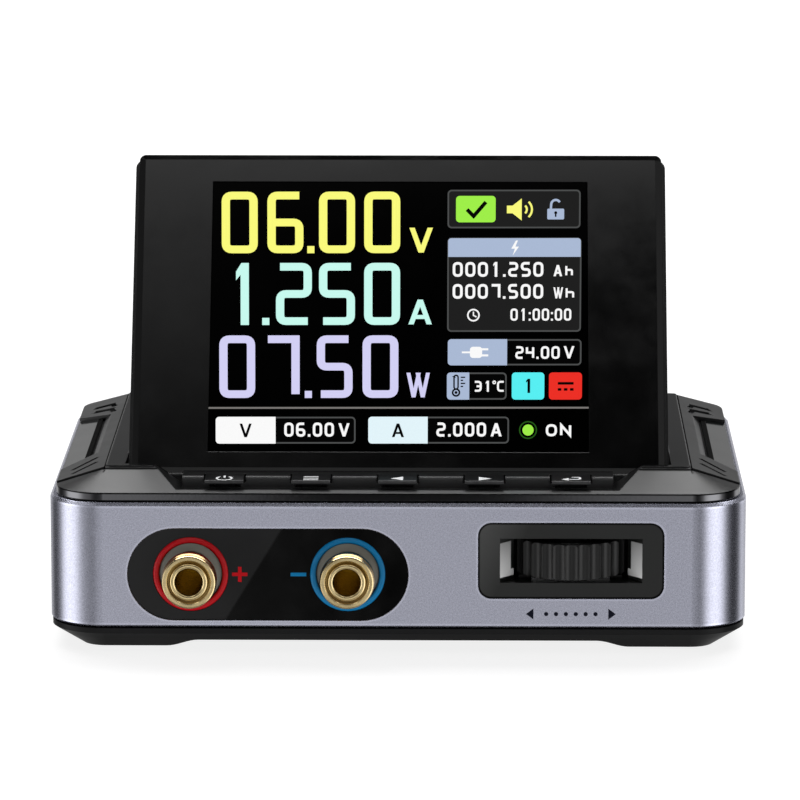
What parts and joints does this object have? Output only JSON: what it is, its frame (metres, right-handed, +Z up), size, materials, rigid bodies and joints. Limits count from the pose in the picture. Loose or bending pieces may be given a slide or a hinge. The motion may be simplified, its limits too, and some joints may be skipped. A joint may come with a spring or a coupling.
{
  "type": "laboratory power supply",
  "caption": "Pocket bench power supply: flat aluminium-banded case, fold-out colour display in the lid, row of touch keys, two brass 4 mm sockets and a thumb wheel.",
  "frame": {"origin": "middle of the footprint, on the table", "axes": "+X to the right along the long side, +Y to the back, +Z up; the sockets face -Y"},
  "size_m": [0.1072, 0.084, 0.0717],
  "materials": {
    "band_aluminium": "bead blasted and anodised, lavender grey",
    "cover_plastic": "satin black",
    "base_plastic": "satin black",
    "gloss_black": "gloss black",
    "red_plastic": "gloss red",
    "blue_plastic": "gloss blue",
    "bush_plastic": "grey insulating plastic",
    "brass": "turned and gilt",
    "plated_steel": "nickel plated",
    "dark_steel": "black oxide",
    "bezel_plastic": "satin charcoal",
    "wheel_plastic": "satin dark grey",
    "white_plastic": "off-white",
    "black_plastic": "matt black",
    "key_plastic": "satin black with light icons",
    "circuit_board": "green solder mask",
    "sink_aluminium": "extruded, plain",
    "ferrite": "pressed iron powder",
    "can_aluminium": "sleeved can",
    "rubber": "soft black",
    "screen_glass": "gloss black display cell",
    "ribbon_film": "amber film"
  },
  "bodies": {
    "housing": {"frame_band": "band_aluminium", "top_cover": "cover_plastic", "bottom_cover": "base_plastic", "side_inlays": "gloss_black", "socket_panel": "gloss_black", "positive_ring": "red_plastic", "negative_ring": "blue_plastic", "socket_bushes": "bush_plastic", "positive_socket": "brass", "negative_socket": "brass", "socket_nuts": "plated_steel", "socket_lugs": "plated_steel", "wheel_bezel": "bezel_plastic", "encoder_base": "black_plastic", "press_switch": "black_plastic", "key_switches": "plated_steel", "key_board": "circuit_board", "key_board_screws": "plated_steel", "main_board": "circuit_board", "heat_sink": "sink_aluminium", "power_transistors": "black_plastic", "power_inductor": "ferrite", "capacitors": "can_aluminium", "control_chips": "black_plastic", "buzzer": "black_plastic", "board_socket": "white_plastic", "rear_panel": "cover_plastic", "usb_c_shell": "plated_steel", "usb_c_tongue": "black_plastic", "data_port_shell": "plated_steel", "data_port_tongue": "black_plastic", "power_jack": "black_plastic", "power_jack_pin": "plated_steel", "hinge_pins": "plated_steel", "hinge_washers": "plated_steel", "case_screws": "dark_steel", "rubber_feet": "rubber", "board_ribbon": "ribbon_film"},
    "display_flap": {"display_shell": "cover_plastic", "display_bezel": "gloss_black", "lcd_cell": "screen_glass", "lcd_backlight": "white_plastic", "display_board": "circuit_board", "display_screws": "dark_steel", "display_ribbon": "ribbon_film"},
    "wheel_carrier": {"wheel_slider": "plated_steel", "wheel_pin": "plated_steel", "press_plunger": "white_plastic"},
    "thumb_wheel": {"thumb_wheel": "wheel_plastic"},
    "power_key": {"power_key": "key_plastic", "power_plunger": "white_plastic"},
    "memory_key": {"memory_key": "key_plastic", "memory_plunger": "white_plastic"},
    "left_key": {"left_key": "key_plastic", "left_plunger": "white_plastic"},
    "right_key": {"right_key": "key_plastic", "right_plunger": "white_plastic"},
    "output_key": {"output_key": "key_plastic", "output_plunger": "white_plastic"}
  },
  "joints": [
    {"name": "flap_hinge", "type": "hinge", "parent": "housing", "child": "display_flap", "pos_m": [0, -0.0224, 0.02405], "axis": [1, 0, 0], "range_deg": [-58.3, 0]},
    {"name": "wheel_press", "type": "slide", "parent": "housing", "child": "wheel_carrier", "axis": [0, 1, 0], "range_m": [0, 0.0006], "stiffness_N_per_m": 2500, "springref_m": -0.0001},
    {"name": "wheel_turn", "type": "hinge", "parent": "wheel_carrier", "child": "thumb_wheel", "pos_m": [0.02655, -0.0288, 0.01475], "axis": [0, 0, 1], "continuous": true},
    {"name": "power_key_press", "type": "slide", "parent": "housing", "child": "power_key", "axis": [0, 0, -1], "range_m": [0, 0.0004], "stiffness_N_per_m": 2500, "springref_m": -0.0001},
    {"name": "memory_key_press", "type": "slide", "parent": "housing", "child": "memory_key", "axis": [0, 0, -1], "range_m": [0, 0.0004], "stiffness_N_per_m": 2500, "springref_m": -0.0001},
    {"name": "left_key_press", "type": "slide", "parent": "housing", "child": "left_key", "axis": [0, 0, -1], "range_m": [0, 0.0004], "stiffness_N_per_m": 2500, "springref_m": -0.0001},
    {"name": "right_key_press", "type": "slide", "parent": "housing", "child": "right_key", "axis": [0, 0, -1], "range_m": [0, 0.0004], "stiffness_N_per_m": 2500, "springref_m": -0.0001},
    {"name": "output_key_press", "type": "slide", "parent": "housing", "child": "output_key", "axis": [0, 0, -1], "range_m": [0, 0.0004], "stiffness_N_per_m": 2500, "springref_m": -0.0001}
  ]
}
